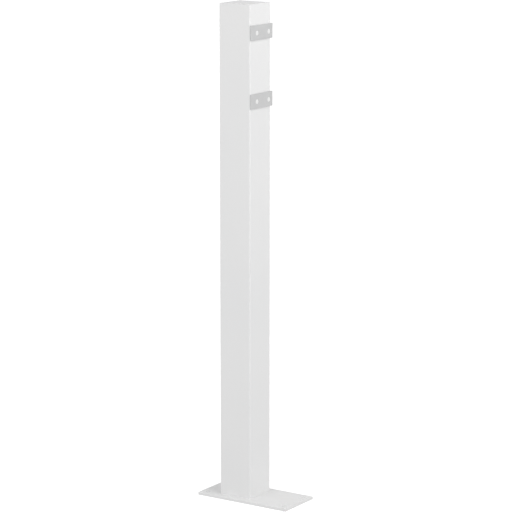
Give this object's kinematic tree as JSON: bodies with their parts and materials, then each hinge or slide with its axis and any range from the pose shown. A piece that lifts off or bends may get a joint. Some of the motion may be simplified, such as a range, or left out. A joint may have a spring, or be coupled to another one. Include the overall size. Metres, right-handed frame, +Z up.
{
  "type": "charging post",
  "caption": "Square steel tube post on a rectangular foot plate, with perforated strips on its front face for a wall-type charge point.",
  "frame": {"origin": "centre of the foot plate's underside, on the ground", "axes": "+Z up along the post; -Y is the front, the side with the strips; the foot plate's long side runs along Y"},
  "size_m": [0.142, 0.292, 1.38],
  "materials": {
    "white_powder_coat": "fine-textured satin powder coat",
    "white_plastic": "fine-grained matte",
    "grey_strip": "satin grey coat",
    "black_rubber": "matte",
    "zinc_plated": "bright zinc",
    "white_nylon": "smooth satin"
  },
  "bodies": {
    "post": {"base_plate": "white_powder_coat", "post_tube": "white_powder_coat", "upper_bracket": "grey_strip", "lower_bracket": "grey_strip", "base_cable_grommet": "black_rubber", "cable_outlet_grommet": "black_rubber", "earth_stud": "zinc_plated", "earth_washer_inner": "zinc_plated", "earth_washer_outer": "zinc_plated", "earth_nut": "zinc_plated", "upper_bracket_stud_left": "zinc_plated", "upper_bracket_washer_left": "zinc_plated", "upper_bracket_nut_left": "zinc_plated", "upper_bracket_stud_right": "zinc_plated", "upper_bracket_washer_right": "zinc_plated", "upper_bracket_nut_right": "zinc_plated", "lower_bracket_stud_left": "zinc_plated", "lower_bracket_washer_left": "zinc_plated", "lower_bracket_nut_left": "zinc_plated", "lower_bracket_stud_right": "zinc_plated", "lower_bracket_washer_right": "zinc_plated", "lower_bracket_nut_right": "zinc_plated", "upper_bracket_hole_cap_left": "white_nylon", "upper_bracket_hole_cap_right": "white_nylon", "lower_bracket_hole_cap_left": "white_nylon", "lower_bracket_hole_cap_right": "white_nylon"},
    "cap": {"top_cap": "white_plastic"}
  },
  "joints": [
    {"name": "cap_lift", "type": "slide", "parent": "post", "child": "cap", "axis": [0, 0, 1], "range_m": [0, 0.035]}
  ]
}
